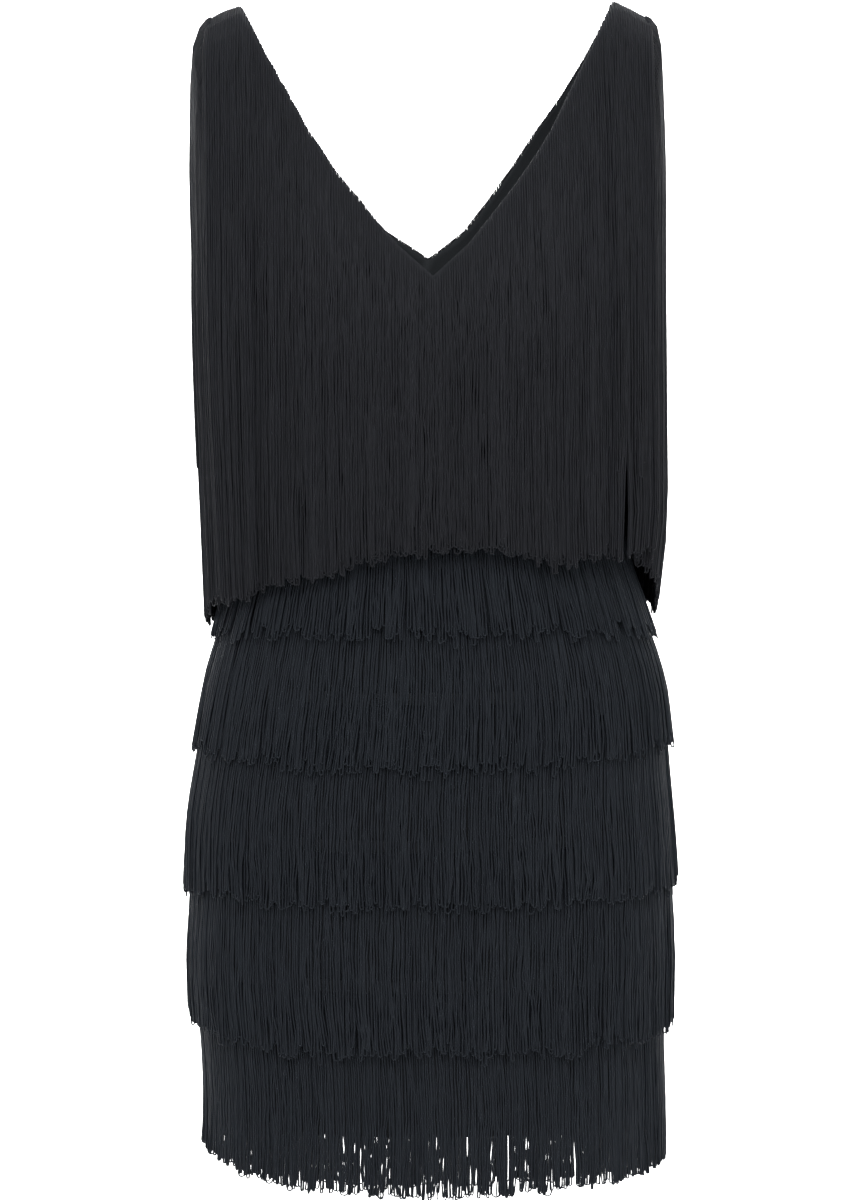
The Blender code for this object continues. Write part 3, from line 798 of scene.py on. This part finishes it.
def add_shoulder_strands(side, finish, draw):
    """Long looped fringe round one armhole's upper edge, hanging clear of the body."""
    layer = np.arange(ARM_LOOPS) % 2
    shift = LAYOUT["shoulder"][0]
    even = np.linspace(-1, 1, ARM_LOOPS) + draw.uniform(-shift, shift, ARM_LOOPS)
    spread = np.sign(even) * np.abs(even) ** ARM_CROWDING
    step = spread * ARM_REACH
    place = (spread - spread.min()) * ARM_ROUND / 2
    pinch, curl, lock, half_gap = in_locks(place, place.max() + 1e-6, draw, "shoulder")
    hem = np.interp((spread + 1) / 2, ARM_HEM["from_front"], ARM_HEM[side])
    hem = hem - curl + draw.normal(0, END_SPREAD["arm"], ARM_LOOPS)
    band_reach, band_end, band_spread = OUTER_BAND
    band = (np.abs(step) < band_reach) & (layer == 1) & (side == "right")
    hem = np.where(band, band_end + draw.normal(0, band_spread, ARM_LOOPS), hem)
    rows, knots, out = shoulder_lines(step, hem)
    share = steps_down(ARM_LOOP_STEPS, "shoulder")
    centre = smooth(share * knots[-1], knots, rows.reshape(len(rows), -1))
    centre = centre.reshape(ARM_LOOP_STEPS, ARM_LOOPS, 3).transpose(1, 0, 2)
    out = np.broadcast_to(out[:, None], centre.shape)
    at_header = np.clip(1 - share / ARM_HEADER_SHARE, 0, 1)[:, None]
    beside = unit(unit(np.gradient(centre, axis=0)) * at_header + level_beside(out) * (1 - at_header))
    drift = drifting(place, 1.0, pinch, share, draw, "shoulder")
    lifted = np.array(LAYERS)[layer][:, None, None] + ARM_LIFT
    centre = centre + level_beside(out) * drift[..., None] + out * lifted
    if side == "right":
        centre, beside, out = centre * (-1, 1, 1), beside * (-1, 1, 1), out * (-1, 1, 1)
    centre[..., 0] += leaning(centre)
    name = f"{side}_shoulder_strands"
    return add_strands(name, "shoulder", centre, beside, out, share, half_gap, lock, finish, draw)


def half_panel(side):
    """Half of a panel, from the middle out to the side. Above the point of the V a row runs from the
    neckline to the armhole; below it the rows go round the body and sag."""
    turn, _ = turns_by_length(np.linspace(0.0, 0.5, TURN_SAMPLES // 4 + 1))
    start, end = (0.0, np.pi / 2) if side == "front" else (np.pi / 2, np.pi)
    inside = turn[(turn >= start - 1e-9) & (turn <= end + 1e-9)]
    turn = np.interp(np.linspace(0, 1, CLOTH_COLUMNS), np.linspace(0, 1, len(inside)), inside)
    turn[0], turn[-1] = start, end
    if side == "back":
        turn = turn[::-1]
    across = np.clip(np.sin(turn), 0, 1) ** POWER
    share = (np.linspace(0, 1, NECK_ROWS) ** NECK_CROWDING)[:, None]
    edge_height = SHOULDER_TIP[1] + (UNDERARM_HEIGHT - SHOULDER_TIP[1]) * share
    neck = smooth(share, NECKLINE["depth_share"], NECKLINE[side])
    x = neck + (armhole_half_width(edge_height) - neck) * across
    height = -share * V_DEPTH[side] * (1 - across) + edge_height * across
    height[0] = shoulder_height(x[0])
    upper = np.stack((x, FACING[side] * chest_depth(x, height, side), height), axis=-1)
    levels = np.array(list(LEVELS.values()))
    row = smooth(np.linspace(0, len(levels) - 1, BODY_ROWS), np.arange(len(levels)), levels)[:, :, None]
    side_height, front_sag, back_sag = row.transpose(1, 0, 2)
    level = row_height(side_height, front_sag, back_sag, turn)
    body, _ = round_body(turn + 0 * side_height, level, 0 * side_height)
    between = np.linspace(0, 1, BUST_ROWS + 2)[1:-1, None, None]
    join = upper[-1] + (body[0] - upper[-1]) * between
    join[..., 1] = FACING[side] * chest_depth(join[..., 0], join[..., 2], side)
    grid = np.concatenate((upper, join, body))
    grid[..., 1] = FACING[side] * np.maximum(np.abs(grid[..., 1]), SEAM_GAP / 2)
    grid[NECK_ROWS - 1:, 0, 0] = 0.0
    return grid


def crease(points, side):
    """Depth of the soft creases at points of the cloth: a bell across each crease's width, which
    fades out towards both ends of its length."""
    depth = np.zeros(points.shape[:-1])
    for x, height, length, width, deep, tilt in CREASES[side]:
        turn = math.radians(tilt)
        dx, dz = points[..., 0] - x, points[..., 2] - height
        along = dx * math.sin(turn) + dz * math.cos(turn)
        across = dx * math.cos(turn) - dz * math.sin(turn)
        depth += deep * np.exp(-((across / width) ** 2) - (2 * along / length) ** 2)
    return depth


def add_cloth(side, finish):
    """Front or back of the dress: both halves of the grid, joined below the point of the V, with
    creases pressed in and the cloth's thickness on the outer side."""
    half = half_panel(side)
    rows, columns = half.shape[:2]
    grid = np.concatenate((half[:, ::-1] * (-1, 1, 1), half), axis=1)
    grid[..., 1] -= FACING[side] * crease(grid, side)
    grid = settled(grid)
    number = np.arange(rows * 2 * columns).reshape(rows, 2 * columns)
    number[NECK_ROWS - 1:, columns - 1] = number[NECK_ROWS - 1:, columns]
    quads = np.stack((number[:-1, :-1], number[1:, :-1], number[1:, 1:], number[:-1, 1:]), axis=-1)
    quads = np.delete(quads, columns - 1, axis=1).reshape(-1, 4)
    if side == "back":
        quads = quads[:, ::-1]
    used, faces = np.unique(quads, return_inverse=True)
    faces = faces.reshape(-1, 4)
    points = grid.reshape(-1, 3)
    wrap = points[quads][..., [0, 2]]
    piece = add_piece(f"{side}_cloth", points[used], faces, finish, f"{side}_panel", wrap)
    wall = piece.modifiers.new("thickness", "SOLIDIFY")
    wall.thickness = CLOTH_THICKNESS
    wall.offset = 1.0
    wall.use_even_offset = True
    return piece


def strip_piece(name, rings, closed, finish, node_name):
    """A tape from its section's corner points at each step: closed into a band, or with its ends
    filled."""
    steps, sides = rings.shape[:2]
    number = np.arange(steps * sides).reshape(steps, sides)
    following = np.roll(number, -1, axis=1)
    ahead = np.roll(number, -1, axis=0)
    beyond = np.roll(following, -1, axis=0)
    quads = np.stack((number, ahead, beyond, following), axis=-1)
    if closed:
        quads = quads.reshape(-1, 4)
    else:
        ends = number[0], number[-1, ::-1]
        caps = [end[list(corners)] for end in ends for corners in CAP_CORNERS]
        quads = np.concatenate((quads[:-1].reshape(-1, 4), caps))
    return add_piece(name, settled(rings.reshape(-1, 3)), quads, finish, node_name)


def add_ring_tape(number, finish):
    """The header tape of one ring: the tape's section carried round the body along the header."""
    steps, width, inner, outer = RING_TAPE
    turn, _ = turns_by_length(np.arange(steps) / steps)
    top = row_height(*LEVELS[f"header_{number}"], turn)
    height = top[:, None] - TAPE_WIDE * width
    offset = inner + (outer - inner) * TAPE_DEEP + 0 * height
    rings, _ = round_body(turn[:, None] + 0 * height, height, offset)
    return strip_piece(f"skirt_tape_{number}", rings[:, ::-1], True, finish, f"skirt_fringe_{number}")


def add_shoulder_tape(side, finish):
    """The header tape of one armhole fringe: its section runs down under the strands' first part
    and is carried along the edge of the armhole from front to back."""
    steps, width, outer, inner = ARM_TAPE
    step = np.linspace(-1, 1, steps) * ARM_REACH
    rows, knots, _ = shoulder_lines(step, np.full_like(step, UNDERARM_HEIGHT * 2))
    flat = rows.reshape(len(rows), -1)
    centre, further = (
        smooth(TAPE_WIDE * width + more, knots, flat).reshape(-1, steps, 3) for more in (0.0, 0.001)
    )
    inside = unit(np.cross(np.gradient(centre, axis=1), further - centre))
    depth = outer + (inner - outer) * TAPE_DEEP
    rings = (centre + inside * depth[:, None, None]).transpose(1, 0, 2)
    if side == "right":
        rings = rings[:, ::-1] * (-1, 1, 1)
    return strip_piece(f"{side}_shoulder_tape", rings, False, finish, f"{side}_shoulder_fringe")


def add_neck_tape(side, finish):
    """The smooth tape that holds the long fringe. The neckline is one smooth line from the right
    shoulder seam through the point of the V to the left one; the tape's section is carried along it,
    its width down into the cloth, and laid on the chest, lifted over the shoulder at both ends."""
    steps, width, inner, outer = NECK_TAPE
    neck, depth = NECKLINE[side], NECKLINE["depth_share"] * V_DEPTH[side]
    corners = np.column_stack((np.r_[-neck, neck[-2::-1]], -np.r_[depth, depth[-2::-1]]))
    run = np.r_[0.0, np.cumsum(np.linalg.norm(np.diff(corners, axis=0), axis=1))]
    edge = smooth(np.linspace(0, run[-1], steps), run, corners)
    way = unit(np.gradient(edge, axis=0))
    across = TAPE_WIDE * width
    x = edge[:, :1] + way[:, 1:] * across
    flat = edge[:, 1:] - way[:, :1] * across
    grown = inner + (outer - inner) * TAPE_DEEP + 0 * x
    height = flat + grown * np.clip(1 + flat / SHOULDER_ROUNDING, 0, 1)
    depth = np.maximum(chest_depth(x, height, side, grown), SEAM_GAP / 2)
    rings = np.stack((x, FACING[side] * depth, height), axis=-1)
    if side == "front":
        rings = rings[:, ::-1]
    return strip_piece(f"{side}_neck_tape", rings, False, finish, f"{side}_yoke_fringe")


def linear(hex_colour):
    """An sRGB hex colour as linear red, green and blue with full cover."""
    parts = [int(hex_colour[i:i + 2], 16) / 255 for i in (0, 2, 4)]
    return (*[p / 12.92 if p <= 0.04045 else ((p + 0.055) / 1.055) ** 2.4 for p in parts], 1.0)


def node(tree, kind, settings=(), inputs=()):
    """Adds a shader node. An input is a plain value, or a socket to link to it."""
    made = tree.nodes.new("ShaderNode" + kind)
    for name, value in dict(settings).items():
        setattr(made, name, value)
    for name, value in dict(inputs).items():
        if isinstance(value, bpy.types.NodeSocket):
            tree.links.new(value, made.inputs[name])
        else:
            made.inputs[name].default_value = value
    return made


def new_finish(name):
    """An empty material, its node tree and its surface output."""
    made = bpy.data.materials.new(name)
    made.use_nodes = True
    made.node_tree.nodes.clear()
    return made, made.node_tree, made.node_tree.nodes.new("ShaderNodeOutputMaterial")


def maths(tree, operation, *values):
    """The result of a maths node on plain values or sockets."""
    return node(tree, "Math", {"operation": operation}, dict(enumerate(values))).outputs["Value"]


def two_tone(tree, share, stops):
    """A colour that runs from one tone to another between two values of a share."""
    ramp = node(tree, "ValToRGB", inputs={"Fac": share})
    for stop, (position, colour) in zip(ramp.color_ramp.elements, stops):
        stop.position, stop.color = position, linear(colour)
    return ramp.outputs["Color"]


def textile(tree, output, colour, relief, surface, tint="ffffff"):
    """A textile's surface: relief is the bump's strength, depth and height, surface the roughness,
    the specular level and the weight of the sheen."""
    strength, distance, height = relief
    roughness, specular, sheen = surface
    bump = node(tree, "Bump", inputs={"Strength": strength, "Distance": distance, "Height": height})
    shader = node(tree, "BsdfPrincipled", inputs={
        "Base Color": colour,
        "Roughness": roughness,
        "Specular IOR Level": specular,
        "Sheen Weight": sheen,
        "Sheen Tint": linear(tint),
        "Normal": bump.outputs["Normal"],
    })
    tree.links.new(shader.outputs["BSDF"], output.inputs["Surface"])


def viscose_chainette(name, dark, light):
    """Black viscose chainette: filament yarn knitted into a fine cord, dull and soft. Dye takes a
    little unevenly from strand to strand and every 1 cm along one, and the chain of stitches shows
    as small chevrons 1.4 mm apart."""
    made, tree, output = new_finish(name)
    tone = node(tree, "Attribute", {"attribute_name": "tone"})
    place = node(tree, "TexCoord")
    spot = node(tree, "SeparateXYZ", inputs={"Vector": place.outputs["UV"]})
    streak_place = node(tree, "CombineXYZ", inputs={
        "X": maths(tree, "MULTIPLY", tone.outputs["Fac"], 900.0),
        "Y": maths(tree, "MULTIPLY", spot.outputs["Y"], 1 / 0.010)})
    streaks = node(tree, "TexNoise", inputs={
        "Vector": streak_place.outputs["Vector"], "Scale": 1.0, "Detail": 2.0})
    shade = maths(tree, "MULTIPLY_ADD", tone.outputs["Fac"], 0.25, streaks.outputs["Fac"])
    colour = two_tone(tree, shade, ((0.35, dark), (0.9, light)))
    side = maths(tree, "PINGPONG", spot.outputs["X"], 0.25)
    stitch = maths(tree, "MULTIPLY", spot.outputs["Y"], 2 * math.pi / 0.0014)
    wave = maths(tree, "SINE", maths(tree, "MULTIPLY_ADD", side, 9.0, stitch))
    relief = (0.35, 0.0002, wave)
    textile(tree, output, colour, relief, (0.65, 0.1, 0.03), "aab4c6")
    return made


def viscose_jersey():
    """Black stretch viscose jersey: single knit with fine wales. It is matt, a little lighter at
    grazing angles where fibre ends stand up; the wales are drawn 1.6 mm apart so that they show."""
    made, tree, output = new_finish("viscose_jersey")
    place = node(tree, "TexCoord")
    wales = node(tree, "TexWave", {"wave_type": "BANDS", "bands_direction": "X"}, {
        "Vector": place.outputs["UV"], "Scale": 1 / 0.0016 / BANDS, "Distortion": 0.6, "Detail": 1.0})
    courses = node(tree, "TexWave", {"wave_type": "BANDS", "bands_direction": "Y"}, {
        "Vector": place.outputs["UV"], "Scale": 1 / 0.0012 / BANDS, "Distortion": 0.4})
    knit = maths(tree, "MULTIPLY_ADD", courses.outputs["Fac"], 0.5, wales.outputs["Fac"])
    patches = node(tree, "TexNoise", inputs={"Vector": place.outputs["Object"], "Scale": 9.0})
    colour = two_tone(tree, patches.outputs["Fac"], ((0.3, "1a1c1f"), (0.7, "222528")))
    textile(tree, output, colour, (0.4, 0.0002, knit), (0.85, 0.2, 0.05))
    return made


def woven_tape():
    """Black woven polyester tape, the header that the chainette is stitched into: close ribs across
    it, 1 mm apart, and a slightly smoother face than the knit."""
    made, tree, output = new_finish("woven_tape")
    place = node(tree, "TexCoord")
    ribs = node(tree, "TexWave", {"wave_type": "BANDS", "bands_direction": "DIAGONAL"}, {
        "Vector": place.outputs["Object"], "Scale": 1 / 0.001 / DIAGONAL_BANDS, "Distortion": 0.3})
    patches = node(tree, "TexNoise", inputs={"Vector": place.outputs["Object"], "Scale": 30.0})
    colour = two_tone(tree, patches.outputs["Fac"], ((0.3, "1c1e22"), (0.7, "25282c")))
    textile(tree, output, colour, (0.3, 0.00015, ribs.outputs["Fac"]), (0.7, 0.25, 0.05))
    return made


def add_camera():
    """The camera at the photograph's angle. Its sensor's width fits the frame's longer side."""
    lens = bpy.data.cameras.new("camera")
    lens.sensor_width = SENSOR
    lens.lens = SENSOR * CAMERA_DISTANCE / FRAME_HEIGHT
    camera = placed("camera", lens)
    turn = math.radians(CAMERA_AZIMUTH)
    across, forward = math.sin(turn) * CAMERA_DISTANCE, math.cos(turn) * CAMERA_DISTANCE
    camera.location = (across + CAMERA_SIDE_SHIFT, -forward, CAMERA_HEIGHT)
    camera.rotation_euler = (math.pi / 2, math.radians(CAMERA_ROLL), turn)
    bpy.context.scene.camera = camera


def add_stage():
    """A pale floor that sweeps up behind: one smooth profile carried sideways."""
    knots = np.arange(len(SWEEP), dtype=float)
    profile = smooth(np.linspace(0, knots[-1], SWEEP_STEPS), knots, np.array(SWEEP))
    wide = -SWEEP_HALF_WIDTH, SWEEP_HALF_WIDTH
    points = np.array([(x, y, FLOOR_HEIGHT + z) for y, z in profile for x in wide])
    number = np.arange(len(points)).reshape(-1, 2)
    faces = np.stack((number[:-1, 0], number[:-1, 1], number[1:, 1], number[1:, 0]), axis=-1)
    mesh = bpy.data.meshes.new("studio_floor")
    mesh.from_pydata(points.tolist(), [], faces.tolist())
    mesh.shade_smooth()
    paper, tree, output = new_finish("studio_paper")
    shader = node(tree, "BsdfPrincipled", inputs={"Base Color": linear("fafafa"), "Roughness": 0.9})
    tree.links.new(shader.outputs["BSDF"], output.inputs["Surface"])
    mesh.materials.append(paper)
    placed("studio_floor", mesh)


def add_lights():
    """Large soft lights and an even white surround."""
    for name, (place, target, size, power) in LIGHTS.items():
        lamp = bpy.data.lights.new(name, "AREA")
        lamp.size = size
        lamp.energy = power
        made = placed(name, lamp)
        made.location = place
        way = unit(np.array(target) - np.array(place))
        made.rotation_euler = (math.acos(-way[2]), 0.0, math.atan2(-way[0], way[1]))
    world = bpy.data.worlds.new("studio")
    world.use_nodes = True
    surround = world.node_tree.nodes["Background"]
    surround.inputs["Color"].default_value = linear("ffffff")
    surround.inputs["Strength"].default_value = WORLD_LIGHT
    bpy.context.scene.world = world
    bpy.context.scene.view_settings.view_transform = "Standard"


add_camera()
add_stage()
add_lights()

LONG_YARN = viscose_chainette("viscose_chainette_long", "17181b", "1f2024")
SKIRT_YARN = viscose_chainette("viscose_chainette_skirt", "1a1d22", "1f2328")
JERSEY = viscose_jersey()
TAPE = woven_tape()

draws = np.random.RandomState(SEED)
ring_pieces = []
for ring_number in range(1, len(RINGS) + 1):
    tape = add_ring_tape(ring_number, TAPE)
    ring_pieces += [tape, add_ring_strands(ring_number, SKIRT_YARN, draws)]
for panel_side in ("front", "back"):
    tape = add_neck_tape(panel_side, TAPE)
    add_yoke_strands(panel_side, LONG_YARN, draws)
shoulder_pieces = []
for arm in ("left", "right"):
    tape = add_shoulder_tape(arm, TAPE)
    shoulder_pieces += [tape, add_shoulder_strands(arm, LONG_YARN, draws)]

front_cloth = add_cloth("front", JERSEY)
back_cloth = add_cloth("back", JERSEY)
